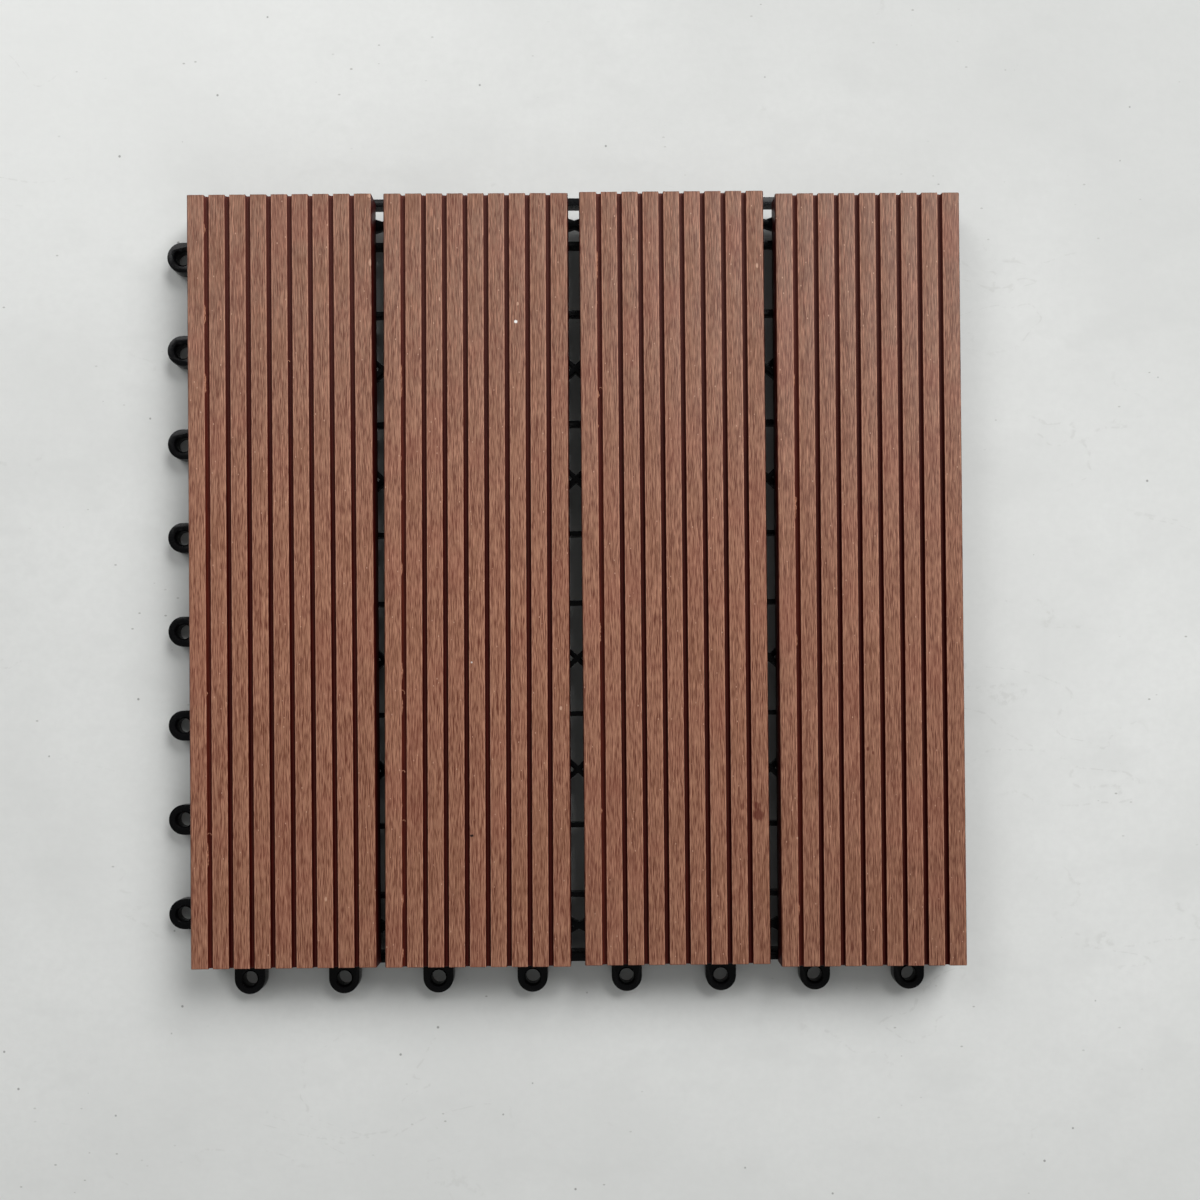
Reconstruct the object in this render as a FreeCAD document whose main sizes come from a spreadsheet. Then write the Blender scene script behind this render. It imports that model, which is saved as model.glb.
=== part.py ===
import FreeCAD, Part
import Sketcher
import os
import re

# Interlocking deck tile: four grooved boards screwed to one moulded open base.
# Millimetres. X runs across the boards, Y along them, Z up, and the tile stands on Z = 0.
# Inside the bodies the middle of the deck is X = Y = 0. Their placement then puts the
# middle of the whole tile, eyelets and pin rims counted, at the origin.

SIZES = {
    # Boards
    "board_count": 4,
    "board_length": 300,
    "board_width": 71.7,
    "board_thickness": 10,
    "board_gap": 4.4,
    "board_edge_round": 0.8,
    "groove_count": 8,
    "groove_pitch": 8.06,
    "groove_width": 1.8,
    "groove_floor_width": 1.4,
    "groove_depth": 1.8,
    # Base: walls, ribs and braces, all flush at the top
    "base_height": 12,
    "rim_width": 3,
    "pin_rim_reach": 2,
    "rib_width": 1.9,
    "rib_depth": 5,
    "strip_width": 27.4,
    "row_count": 3,
    "row_pitch": 115.1,
    "row_middle": 4.95,
    # Eyelets on two sides, pins on the other two
    "eyelet_count": 8,
    "eyelet_pitch": 37.5,
    "eyelet_offset": 7.2,
    "eyelet_width": 12,
    "eyelet_bottom": 1.3,
    "eyelet_height": 5.4,
    "eyelet_mouth": 7.3,
    "eyelet_bore": 5.8,
    "eyelet_cone_depth": 0.75,
    "pin_clearance": 0.2,
    "pin_root_width": 7,
    # Screw posts and feet, all measured across their flats
    "post_width": 10,
    "post_seat_height": 4.5,
    "post_seat_width": 7.8,
    "post_hole": 4,
    "foot_width": 8,
    # Screws
    "screw_head_width": 7,
    "screw_head_height": 2.2,
    "screw_core": 3.2,
    "screw_length": 14,
    "screw_hole_spare": 0.8,
    # How each board was screwed down: sideways, lengthways and turned, left to right
    "set_aside_a": 0,
    "set_along_a": 0.2,
    "set_turn_a": 0.13,
    "set_aside_b": -0.5,
    "set_along_b": 0.1,
    "set_turn_b": -0.15,
    "set_aside_c": 0,
    "set_along_c": 0.4,
    "set_turn_c": 0.05,
    "set_aside_d": 0,
    "set_along_d": -0.7,
    "set_turn_d": -0.03,
}

BOARDS = {
    "slat_left": "a",
    "slat_mid_left": "b",
    "slat_mid_right": "c",
    "slat_right": "d",
}

# Posts and screws are eight-sided, which keeps these many small forms light
SIDES = 8

doc = FreeCAD.newDocument("deck_tile")
sheet = doc.addObject("Spreadsheet::Sheet", "sizes")
for line, (alias, size) in enumerate(SIZES.items(), start=1):
    sheet.set(f"A{line}", str(size))
    sheet.setAlias(f"A{line}", alias)
doc.recompute()


# Places and lengths that several features share, in the words of the sheet
BOARD_PITCH = "(board_width + board_gap)"
DECK_HALF_X = f"((board_count * {BOARD_PITCH} - board_gap) / 2)"
DECK_HALF_Y = "(board_length / 2)"
FIRST_BOARD_X = f"(-(board_count - 1) / 2 * {BOARD_PITCH})"
FIRST_GAP_X = f"({FIRST_BOARD_X} + {BOARD_PITCH} / 2)"
FIRST_ROW_Y = "(row_middle - (row_count - 1) / 2 * row_pitch)"
LAST_ROW_Y = "(row_middle + (row_count - 1) / 2 * row_pitch)"
CELL_HALF_X = f"(({BOARD_PITCH} - strip_width) / 2)"
CELL_Y = "((row_pitch - strip_width) / 2)"
RIB_BOTTOM = "(base_height - rib_depth)"
EYELET_TOP = "(eyelet_bottom + eyelet_height)"
FIRST_EYELET = "(-(eyelet_count - 1) / 2 * eyelet_pitch)"
EYELET_REACH = "(eyelet_offset + eyelet_width / 2)"


def formula(words):
    """Turn a formula written in the sheet's names into one that an object can hold."""
    return re.sub(r"\b([a-z]+(?:_[a-z]+)+)\b", r"sizes.\1", words)


def bind(thing, path, words):
    """Tie a property of a document object to the sheet."""
    thing.setExpression(path, formula(words))


def number(words):
    """What a formula comes to now, used to draw a sketch near its final form."""
    found = sheet.evalExpression(formula(words))
    return float(getattr(found, "Value", found))


def new_body(label):
    """A body that stands in the tile's frame and may hold several like solids."""
    body = doc.addObject("PartDesign::Body", label)
    body.Label = label
    body.AllowCompound = True
    bind(body, "Placement.Base.x", f"({EYELET_REACH} - pin_rim_reach) / 2")
    bind(body, "Placement.Base.y", f"({EYELET_REACH} - pin_rim_reach) / 2")
    return body


def origin_part(body, role):
    """One of the body's own origin planes or axes."""
    return next(part for part in body.Origin.OriginFeatures if part.Role == role)


def new_sketch(body, name, role="XY_Plane", level=None):
    """A sketch on an origin plane of its body, moved off it to a level where one is given."""
    sketch = body.newObject("Sketcher::SketchObject", name)
    sketch.AttachmentSupport = (origin_part(body, role), [""])
    sketch.MapMode = "FlatFace"
    if level:
        bind(sketch, "AttachmentOffset.Base.z", level)
    return sketch


def fix_point(sketch, line, end, x, y):
    """Hold one end of a line, or a circle's centre, at a place given by two formulas."""
    for kind, words in (("DistanceX", x), ("DistanceY", y)):
        held = sketch.addConstraint(
            Sketcher.Constraint(kind, -1, 1, line, end, number(words))
        )
        bind(sketch, f"Constraints[{held}]", words)


def draw_outline(sketch, corners):
    """A closed outline of straight lines through corners given as pairs of formulas."""
    places = [FreeCAD.Vector(number(x), number(y), 0) for x, y in corners]
    turned = places[1:] + places[:1]
    lines = [
        sketch.addGeometry(Part.LineSegment(start, end), False)
        for start, end in zip(places, turned)
    ]
    for line, following in zip(lines, lines[1:] + lines[:1]):
        sketch.addConstraint(Sketcher.Constraint("Coincident", line, 2, following, 1))
    for line, (x, y) in zip(lines, corners):
        fix_point(sketch, line, 1, x, y)
    return lines


def draw_rectangle(sketch, left, right, low, high):
    return draw_outline(sketch, [(left, low), (right, low), (right, high), (left, high)])


def draw_circle(sketch, x, y, width):
    centre = FreeCAD.Vector(number(x), number(y), 0)
    up = FreeCAD.Vector(0, 0, 1)
    circle = sketch.addGeometry(Part.Circle(centre, up, number(width) / 2), False)
    held = sketch.addConstraint(Sketcher.Constraint("Diameter", circle, number(width)))
    bind(sketch, f"Constraints[{held}]", width)
    fix_point(sketch, circle, 3, x, y)


def draw_polygon(sketch, x, y, width):
    """An even-sided outline about a centre, as wide across its flats as the formula says."""
    corners = []
    for corner in range(SIDES):
        angle = f"({corner} + 0.5) * 360 deg / {SIDES}"
        reach = f"({width}) / 2 / cos(180 deg / {SIDES})"
        corners.append((f"{x} + {reach} * cos({angle})", f"{y} + {reach} * sin({angle})"))
    draw_outline(sketch, corners)


def draw_bar(sketch, left, right, start, end):
    """A slanting rib between two upright lines, from height start to height end."""
    run = f"(({right}) - ({left}))"
    rise = f"(({end}) - ({start}))"
    half = f"(rib_width / 2 * sqrt(1 + ({rise} / {run})^2))"
    corners = [
        (left, f"{start} - {half}"),
        (right, f"{end} - {half}"),
        (right, f"{end} + {half}"),
        (left, f"{start} + {half}"),
    ]
    draw_outline(sketch, corners)


def add_pad(body, sketch, length, name, down=False):
    pad = body.newObject("PartDesign::Pad", name)
    pad.Profile = sketch
    bind(pad, "Length", length)
    pad.Reversed = down
    doc.recompute()
    return pad


def add_pocket(body, sketch, length, name, upwards=False):
    pocket = body.newObject("PartDesign::Pocket", name)
    pocket.Profile = sketch
    bind(pocket, "Length", length)
    pocket.Reversed = upwards
    doc.recompute()
    return pocket


def repeat(body, name, first, second=None, features=None):
    """Repeat a body's form along one or two of its axes: axis role, spacing and count."""
    pattern = body.newObject("PartDesign::LinearPattern", name)
    if features:
        pattern.Originals = features
    else:
        pattern.TransformMode = "Whole shape"
    role, spacing, count = first
    pattern.Direction = (origin_part(body, role), [""])
    pattern.Mode = "Spacing"
    bind(pattern, "Offset", spacing)
    bind(pattern, "Occurrences", count)
    body.Tip = pattern
    doc.recompute()
    if second:
        role, spacing, count = second
        pattern.Direction2 = (origin_part(body, role), [""])
        pattern.Mode2 = "Spacing"
        bind(pattern, "Offset2", spacing)
        bind(pattern, "Occurrences2", count)
        doc.recompute()
        pattern.Spacings2 = [-1] * (pattern.Occurrences2 - 1)
        doc.recompute()
    return pattern


def repeat_on_two_sides(body, name):
    """Repeat a body's form at the eyelet pitch along X, and mirror the row to the Y side."""
    diagonal = body.newObject("PartDesign::Plane", f"{name}_diagonal")
    diagonal.AttachmentSupport = (origin_part(body, "XZ_Plane"), [""])
    diagonal.MapMode = "FlatFace"
    turn = FreeCAD.Rotation(FreeCAD.Vector(0, 1, 0), 45)
    diagonal.AttachmentOffset = FreeCAD.Placement(FreeCAD.Vector(0, 0, 0), turn)
    row = doc.addObject("PartDesign::LinearPattern", f"{name}_row")
    row.Direction = (origin_part(body, "X_Axis"), [""])
    row.Mode = "Spacing"
    bind(row, "Offset", "eyelet_pitch")
    bind(row, "Occurrences", "eyelet_count")
    flip = doc.addObject("PartDesign::Mirrored", f"{name}_flip")
    flip.MirrorPlane = (diagonal, [""])
    both = body.newObject("PartDesign::MultiTransform", name)
    both.TransformMode = "Whole shape"
    body.addObject(row)
    body.addObject(flip)
    both.Transformations = [row, flip]
    body.Tip = both
    doc.recompute()
    return both


def make_braces(name, rising_cells, falling_cells, first, second=None):
    """Slanting braces in cells given by left, right, low and high, repeated like the cells."""
    body = new_body(name)
    rising = new_sketch(body, f"{name}_rising_lines", level=RIB_BOTTOM)
    for left, right, low, high in rising_cells:
        draw_bar(rising, left, right, low, high)
    falling = new_sketch(body, f"{name}_falling_lines", level=RIB_BOTTOM)
    for left, right, low, high in falling_cells:
        draw_bar(falling, left, right, high, low)
    add_pad(body, rising, "rib_depth", f"{name}_rising")
    add_pad(body, falling, "rib_depth", f"{name}_falling")
    repeat(body, f"{name}_pattern", first, second)
    return body


def add_groove(body, sketch, name):
    """Cut a profile away all the way round the upright axis of its own sketch."""
    groove = body.newObject("PartDesign::Groove", name)
    groove.Profile = sketch
    groove.ReferenceAxis = (sketch, ["V_Axis"])
    groove.Angle = 360
    doc.recompute()
    return groove


def upright_sketch(body, name, x, y):
    """A sketch that stands on XZ with its own upright axis at X, Y."""
    sketch = new_sketch(body, name, "XZ_Plane")
    bind(sketch, "AttachmentOffset.Base.x", x)
    bind(sketch, "AttachmentOffset.Base.z", f"-({y})")
    return sketch


# Base walls: a square rim, and deeper walls under its two eyelet sides
def make_walls():
    body = new_body("walls")
    pin_x = f"({DECK_HALF_X} + pin_rim_reach)"
    pin_y = f"({DECK_HALF_Y} + pin_rim_reach)"
    rim = new_sketch(body, "rim_lines", level=RIB_BOTTOM)
    draw_rectangle(rim, f"-{DECK_HALF_X}", pin_x, f"-{DECK_HALF_Y}", pin_y)
    draw_rectangle(
        rim,
        f"-{DECK_HALF_X} + rim_width",
        f"{pin_x} - rim_width",
        f"-{DECK_HALF_Y} + rim_width",
        f"{pin_y} - rim_width",
    )
    add_pad(body, rim, "rib_depth", "rim")
    deep = new_sketch(body, "deep_wall_lines", level="eyelet_bottom")
    corners = [
        (f"-{DECK_HALF_X}", f"-{DECK_HALF_Y}"),
        (f"{DECK_HALF_X}", f"-{DECK_HALF_Y}"),
        (f"{DECK_HALF_X}", f"-{DECK_HALF_Y} + rim_width"),
        (f"-{DECK_HALF_X} + rim_width", f"-{DECK_HALF_Y} + rim_width"),
        (f"-{DECK_HALF_X} + rim_width", f"{DECK_HALF_Y}"),
        (f"-{DECK_HALF_X}", f"{DECK_HALF_Y}"),
    ]
    draw_outline(deep, corners)
    add_pad(body, deep, "base_height - eyelet_bottom", "deep_walls")
    return body


# Straight ribs: pairs along each board's middle and at each screw row, singles between rows
def make_ribs():
    west = f"-{DECK_HALF_X} + rim_width / 2"
    east = f"{DECK_HALF_X} + pin_rim_reach - rim_width / 2"
    south = f"-{DECK_HALF_Y} + rim_width / 2"
    north = f"{DECK_HALF_Y} + pin_rim_reach - rim_width / 2"
    columns = ("X_Axis", BOARD_PITCH, "board_count")
    half = "rib_width / 2"

    along = new_body("ribs_along")
    lines = new_sketch(along, "ribs_along_lines", level=RIB_BOTTOM)
    for side in ("-", "+"):
        x = f"{FIRST_BOARD_X} {side} strip_width / 2"
        draw_rectangle(lines, f"{x} - {half}", f"{x} + {half}", south, north)
    add_pad(along, lines, "rib_depth", "rib_pair_along")
    repeat(along, "ribs_along_pattern", columns)

    across = new_body("ribs_across")
    lines = new_sketch(across, "ribs_across_lines", level=RIB_BOTTOM)
    for side in ("-", "+"):
        y = f"{FIRST_ROW_Y} {side} strip_width / 2"
        draw_rectangle(lines, west, east, f"{y} - {half}", f"{y} + {half}")
    add_pad(across, lines, "rib_depth", "rib_pair_across")
    repeat(across, "ribs_across_pattern", ("Y_Axis", "row_pitch", "row_count"))

    single = new_body("single_ribs")
    lines = new_sketch(single, "single_rib_lines", level=RIB_BOTTOM)
    y = f"{FIRST_ROW_Y} + row_pitch / 2"
    draw_rectangle(lines, west, east, f"{y} - {half}", f"{y} + {half}")
    add_pad(single, lines, "rib_depth", "single_rib")
    repeat(single, "single_ribs_pattern", ("Y_Axis", "row_pitch", "row_count - 1"))
    return [along, across, single]


# Braces: crossed ones under the gaps between boards, and a zigzag next to the side rims
def make_all_braces():
    half_strip = "strip_width / 2"
    left = f"{FIRST_GAP_X} - {CELL_HALF_X}"
    right = f"{FIRST_GAP_X} + {CELL_HALF_X}"
    low = f"{FIRST_ROW_Y} + {half_strip}"
    columns = ("X_Axis", BOARD_PITCH, "board_count - 1")
    rows = ("Y_Axis", "row_pitch", "row_count - 1")
    cells = [
        (left, right, low, f"{low} + {CELL_Y}"),
        (left, right, f"{low} + {CELL_Y}", f"{low} + 2 * {CELL_Y}"),
    ]
    gap_braces = make_braces("gap_braces", cells, cells, columns, rows)

    half_rim = "rim_width / 2"
    west = f"-{DECK_HALF_X} + {half_rim}"
    east = f"{DECK_HALF_X} + pin_rim_reach - {half_rim}"
    first_rib = f"{FIRST_BOARD_X} - {half_strip}"
    last_rib = f"-{FIRST_BOARD_X} + {half_strip}"
    strips = ((west, first_rib), (last_rib, east))
    lower = [(start, end, low, f"{low} + {CELL_Y}") for start, end in strips]
    upper = [(start, end, f"{low} + {CELL_Y}", f"{low} + 2 * {CELL_Y}") for start, end in strips]
    side_braces = make_braces("side_braces", lower, upper, rows)

    south = f"-{DECK_HALF_Y} + {half_rim}"
    north = f"{DECK_HALF_Y} + pin_rim_reach - {half_rim}"
    cells = [
        (left, right, south, f"{FIRST_ROW_Y} - {half_strip}"),
        (left, right, f"{LAST_ROW_Y} + {half_strip}", north),
    ]
    end_braces = make_braces("end_braces", cells, cells, columns)
    return [gap_braces, side_braces, end_braces]


# Eyelets: a tongue with a round end off the deep wall, with a coned bore
def make_eyelets():
    body = new_body("eyelets")
    middle_y = f"(-{DECK_HALF_Y} - eyelet_offset)"
    tongue = new_sketch(body, "eyelet_lines", level="eyelet_bottom")
    half = "eyelet_width / 2"
    left = f"{FIRST_EYELET} - {half}"
    right = f"{FIRST_EYELET} + {half}"
    root = f"-{DECK_HALF_Y} + rim_width / 2"
    places = [(left, middle_y), (left, root), (right, root), (right, middle_y)]
    points = [FreeCAD.Vector(number(x), number(y), 0) for x, y in places]
    sides = [
        tongue.addGeometry(Part.LineSegment(start, end), False)
        for start, end in zip(points, points[1:])
    ]
    centre = FreeCAD.Vector(number(FIRST_EYELET), number(middle_y), 0)
    lowest = centre - FreeCAD.Vector(0, number(half), 0)
    end = tongue.addGeometry(Part.Arc(points[0], lowest, points[3]), False)
    for line, following in zip(sides, sides[1:]):
        tongue.addConstraint(Sketcher.Constraint("Coincident", line, 2, following, 1))
    tongue.addConstraint(Sketcher.Constraint("Coincident", end, 1, sides[0], 1))
    tongue.addConstraint(Sketcher.Constraint("Coincident", end, 2, sides[2], 2))
    fix_point(tongue, end, 3, FIRST_EYELET, middle_y)
    fix_point(tongue, sides[0], 1, left, middle_y)
    fix_point(tongue, sides[1], 1, left, root)
    fix_point(tongue, sides[2], 1, right, root)
    level = tongue.addConstraint(
        Sketcher.Constraint("DistanceY", -1, 1, end, 2, number(middle_y))
    )
    bind(tongue, f"Constraints[{level}]", middle_y)
    add_pad(body, tongue, "eyelet_height", "eyelet")

    profile = upright_sketch(body, "eyelet_bore_lines", FIRST_EYELET, middle_y)
    cone_end = f"{EYELET_TOP} - eyelet_cone_depth"
    corners = [
        ("0", "eyelet_bottom - 1"),
        ("eyelet_bore / 2", "eyelet_bottom - 1"),
        ("eyelet_bore / 2", cone_end),
        ("eyelet_mouth / 2", EYELET_TOP),
        ("eyelet_mouth / 2", f"{EYELET_TOP} + 1"),
        ("0", f"{EYELET_TOP} + 1"),
    ]
    draw_outline(profile, corners)
    add_groove(body, profile, "eyelet_bore")
    repeat_on_two_sides(body, "eyelet_pattern")
    return body


# Pins: each hangs from a short beam behind the rim and fits an eyelet of the next tile
def make_pins():
    body = new_body("pins")
    beam = new_sketch(body, "pin_beam_lines", level=RIB_BOTTOM)
    draw_rectangle(
        beam,
        f"{FIRST_EYELET} - pin_root_width / 2",
        f"{FIRST_EYELET} + pin_root_width / 2",
        f"{LAST_ROW_Y} + strip_width / 2",
        f"{DECK_HALF_Y} + pin_rim_reach - rim_width / 2",
    )
    add_pad(body, beam, "rib_depth", "pin_beam")
    circle = new_sketch(body, "pin_lines", level=RIB_BOTTOM)
    middle_y = f"({DECK_HALF_Y} + pin_rim_reach - eyelet_offset)"
    draw_circle(circle, FIRST_EYELET, middle_y, "eyelet_bore - 2 * pin_clearance")
    add_pad(body, circle, f"{RIB_BOTTOM} - eyelet_bottom", "pin", down=True)
    repeat_on_two_sides(body, "pin_pattern")
    return body


# Screw posts: tubes down to the floor in the small cells, held by a web from rib to rib
def make_posts():
    body = new_body("posts")
    web = new_sketch(body, "post_web_lines", level=RIB_BOTTOM)
    draw_rectangle(
        web,
        f"{FIRST_BOARD_X} - strip_width / 2",
        f"{FIRST_BOARD_X} + strip_width / 2",
        f"{FIRST_ROW_Y} - rib_width / 2",
        f"{FIRST_ROW_Y} + rib_width / 2",
    )
    add_pad(body, web, "rib_depth", "post_web")
    outline = new_sketch(body, "post_lines")
    draw_polygon(outline, FIRST_BOARD_X, FIRST_ROW_Y, "post_width")
    add_pad(body, outline, "base_height", "post")
    for name, width, length in (
        ("post_seat", "post_seat_width", "post_seat_height"),
        ("post_bore", "post_hole", "base_height"),
    ):
        outline = new_sketch(body, f"{name}_lines")
        draw_polygon(outline, FIRST_BOARD_X, FIRST_ROW_Y, width)
        add_pocket(body, outline, length, name, upwards=True)
    columns = ("X_Axis", BOARD_PITCH, "board_count")
    rows = ("Y_Axis", "row_pitch", "row_count")
    repeat(body, "post_pattern", columns, rows)
    return body


# Feet: short square studs under the single ribs, midway between screw rows
def make_feet():
    body = new_body("feet")
    outline = new_sketch(body, "foot_lines")
    half = "foot_width / 2"
    y = f"{FIRST_ROW_Y} + row_pitch / 2"
    draw_rectangle(
        outline,
        f"{FIRST_BOARD_X} - {half}",
        f"{FIRST_BOARD_X} + {half}",
        f"{y} - {half}",
        f"{y} + {half}",
    )
    add_pad(body, outline, RIB_BOTTOM, "foot")
    columns = ("X_Axis", BOARD_PITCH, "board_count")
    rows = ("Y_Axis", "row_pitch", "row_count - 1")
    repeat(body, "foot_pattern", columns, rows)
    return body


# The base is one moulding, so all its features are fused into one solid
def make_base():
    features = [make_walls(), *make_ribs(), *make_all_braces()]
    features += [make_eyelets(), make_pins(), make_posts(), make_feet()]
    base = doc.addObject("Part::MultiFuse", "base_grid")
    base.Label = "base_grid"
    base.Shapes = features
    base.Refine = True
    doc.recompute()
    return base


# Screws: a head in the post's seat, and a core up into the board
def make_screws():
    body = new_body("fixing_screws")
    bottom = "(post_seat_height - screw_head_height)"
    for name, width, level, length in (
        ("screw_head", "screw_head_width", bottom, "screw_head_height"),
        ("screw_shank", "screw_core", "post_seat_height", "screw_length"),
    ):
        outline = new_sketch(body, f"{name}_lines", level=level)
        draw_polygon(outline, FIRST_BOARD_X, FIRST_ROW_Y, width)
        add_pad(body, outline, length, name)
    columns = ("X_Axis", BOARD_PITCH, "board_count")
    rows = ("Y_Axis", "row_pitch", "row_count")
    repeat(body, "screw_pattern", columns, rows)
    return body


# Pilot holes: what the screws need inside the boards, as solids to cut away
def make_pilot_holes():
    body = new_body("pilot_holes")
    outline = new_sketch(body, "pilot_lines", level="base_height")
    draw_polygon(outline, FIRST_BOARD_X, FIRST_ROW_Y, "screw_core")
    depth = "post_seat_height + screw_length + screw_hole_spare - base_height"
    add_pad(body, outline, depth, "pilot")
    columns = ("X_Axis", BOARD_PITCH, "board_count")
    rows = ("Y_Axis", "row_pitch", "row_count")
    repeat(body, "pilot_pattern", columns, rows)
    return body


def upper_long_edges(shape):
    """Names of the two upper edges that run the whole length of a board."""
    names = []
    for index, edge in enumerate(shape.Edges, start=1):
        start, end = edge.Vertexes[0].Point, edge.Vertexes[-1].Point
        lengthwise = abs(start.y - end.y) > abs(start.x - end.x) + abs(start.z - end.z)
        if lengthwise and start.z > shape.CenterOfMass.z:
            names.append(f"Edge{index}")
    return names


# Boards: a rectangular section with two rounded edges and grooves along the top
def make_board(label, place, set_name, pilot_holes):
    body = doc.addObject("PartDesign::Body", f"{label}_board")
    shift = f"({EYELET_REACH} - pin_rim_reach) / 2"
    x = f"{FIRST_BOARD_X} + {place} * {BOARD_PITCH}"
    bind(body, "Placement.Base.x", f"{shift} + {x} + set_aside_{set_name}")
    bind(body, "Placement.Base.y", f"{shift} + set_along_{set_name}")
    bind(body, "Placement.Base.z", "base_height")
    body.Placement.Rotation = FreeCAD.Rotation(FreeCAD.Vector(0, 0, 1), 1)
    bind(body, "Placement.Rotation.Angle", f"set_turn_{set_name} * 1 deg")

    section = new_sketch(body, "section", "XZ_Plane")
    half = "board_width / 2"
    draw_rectangle(section, f"-{half}", half, "0", "board_thickness")
    plank = add_pad(body, section, "board_length", "plank")
    plank.SideType = "Symmetric"
    doc.recompute()

    rounding = body.newObject("PartDesign::Fillet", "long_edge_round")
    rounding.Base = (plank, upper_long_edges(plank.Shape))
    bind(rounding, "Radius", "board_edge_round")
    doc.recompute()

    groove = new_sketch(body, "groove_lines", "XZ_Plane")
    middle = "(-(groove_count - 1) / 2 * groove_pitch)"
    floor = "board_thickness - groove_depth"
    corners = [
        (f"{middle} - groove_floor_width / 2", floor),
        (f"{middle} + groove_floor_width / 2", floor),
        (f"{middle} + groove_width / 2", "board_thickness"),
        (f"{middle} - groove_width / 2", "board_thickness"),
    ]
    draw_outline(groove, corners)
    cut = add_pocket(body, groove, "board_length", "groove")
    cut.SideType = "Symmetric"
    doc.recompute()
    repeat(body, "grooves", ("X_Axis", "groove_pitch", "groove_count"), features=[cut])

    board = doc.addObject("Part::Cut", label)
    board.Label = label
    board.Base = body
    board.Tool = pilot_holes
    board.Refine = False
    doc.recompute()
    return board


base = make_base()
screws = make_screws()
pilot_holes = make_pilot_holes()
boards = [
    make_board(label, place, set_name, pilot_holes)
    for place, (label, set_name) in enumerate(BOARDS.items())
]
doc.recompute()

for thing in doc.Objects:
    if "Invalid" in thing.State or "Error" in thing.State:
        raise RuntimeError(f"{thing.Name} did not compute: {thing.State}")

os.makedirs("parts", exist_ok=True)
for sub_part in [base, screws, *boards]:
    shape = sub_part.Shape
    if shape.isNull() or not shape.isValid():
        raise RuntimeError(f"{sub_part.Label} has no sound shape")
    shape.exportStep(f"parts/{sub_part.Label}.step")
    low, high = shape.BoundBox.XMin, shape.BoundBox.XMax
    print(f"{sub_part.Label}: {len(shape.Solids)} solids, {shape.Volume:.0f} mm3")
    print(f"  X {low:.2f} to {high:.2f}, Z {shape.BoundBox.ZMin:.2f} to {shape.BoundBox.ZMax:.2f}")
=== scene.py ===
# %% [markdown]
# An interlocking deck tile, seen from straight above on a pale floor. Four grooved boards of
# wood-plastic composite are screwed to a black moulded base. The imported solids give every
# size and place. This script gives them softened edges, finishes, light and a camera.

# %% Load the frame
import math

import bpy
from mathutils import Matrix, Vector


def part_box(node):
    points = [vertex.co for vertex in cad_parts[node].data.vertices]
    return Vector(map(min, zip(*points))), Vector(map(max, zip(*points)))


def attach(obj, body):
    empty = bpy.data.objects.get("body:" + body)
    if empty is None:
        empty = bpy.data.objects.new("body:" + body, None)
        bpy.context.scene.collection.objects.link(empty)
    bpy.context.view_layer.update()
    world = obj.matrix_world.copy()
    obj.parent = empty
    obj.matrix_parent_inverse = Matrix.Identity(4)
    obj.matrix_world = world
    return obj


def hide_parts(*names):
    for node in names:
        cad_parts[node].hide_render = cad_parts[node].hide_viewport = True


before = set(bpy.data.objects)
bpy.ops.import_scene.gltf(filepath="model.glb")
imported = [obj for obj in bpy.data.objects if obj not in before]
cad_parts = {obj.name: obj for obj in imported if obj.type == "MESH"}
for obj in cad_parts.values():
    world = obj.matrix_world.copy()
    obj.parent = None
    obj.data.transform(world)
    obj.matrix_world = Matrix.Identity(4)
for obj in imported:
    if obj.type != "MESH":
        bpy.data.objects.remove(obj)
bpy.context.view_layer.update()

MM = 0.001
BOARDS = ["slat_left", "slat_mid_left", "slat_mid_right", "slat_right"]

# %% [markdown]
# A handful of sizes of the boards come back again and again, in the finish and in the small
# loose fibres. They are written once here. The top and the underside of a board are read
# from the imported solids.

# %% Sizes of the boards
BOARD_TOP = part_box("slat_left")[1].z / MM
BOARD_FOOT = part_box("slat_left")[0].z / MM
BOARD_WIDTH = 71.7
BOARD_LENGTH = 300.0
GROOVE_PITCH = 8.06
GROOVE_COUNT = 8
GROOVE_WIDTH = 1.8
GROOVE_DEPTH = 1.8
LAST_GROOVE = (GROOVE_COUNT - 1) / 2
FIRST_GROOVE_LEFT = -LAST_GROOVE * GROOVE_PITCH - GROOVE_WIDTH / 2
print("boards from", round(BOARD_FOOT, 2), "to", round(BOARD_TOP, 2), "mm")

# %% [markdown]
# Every piece is shaped the way one would by hand, so a few habits get a helper: select one
# piece alone, run a step in edit mode, and apply a modifier. Each finished piece sits at the
# origin with its place in its mesh, rides on the tile's one body and names its finish.

# %% Helpers for pieces
def only(piece):
    """Select this piece and nothing else."""
    bpy.ops.object.select_all(action="DESELECT")
    piece.select_set(True)
    bpy.context.view_layer.objects.active = piece


def apply_modifier(piece, kind, name, **settings):
    """Add a modifier, set it up and apply it."""
    modifier = piece.modifiers.new(name, kind)
    for key, value in settings.items():
        setattr(modifier, key, value)
    only(piece)
    bpy.ops.object.modifier_apply(modifier=name)


def settle(piece, name, material):
    """Bake the piece's place into its mesh, name it and give it its body and finish."""
    only(piece)
    bpy.ops.object.transform_apply(location=True, rotation=True, scale=True)
    piece.name = name
    piece.data.name = name
    piece.data.materials.clear()
    piece.data.materials.append(material)
    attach(piece, "root")
    return piece


def copy_of(piece, name):
    """The same shape again, with a mesh of its own."""
    twin = bpy.data.objects.new(name, piece.data.copy())
    bpy.context.scene.collection.objects.link(twin)
    return twin


def middle_of(piece):
    """The middle of a piece's box."""
    corners = [Vector(corner) for corner in piece.bound_box]
    return sum(corners, Vector()) / len(corners)


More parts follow.
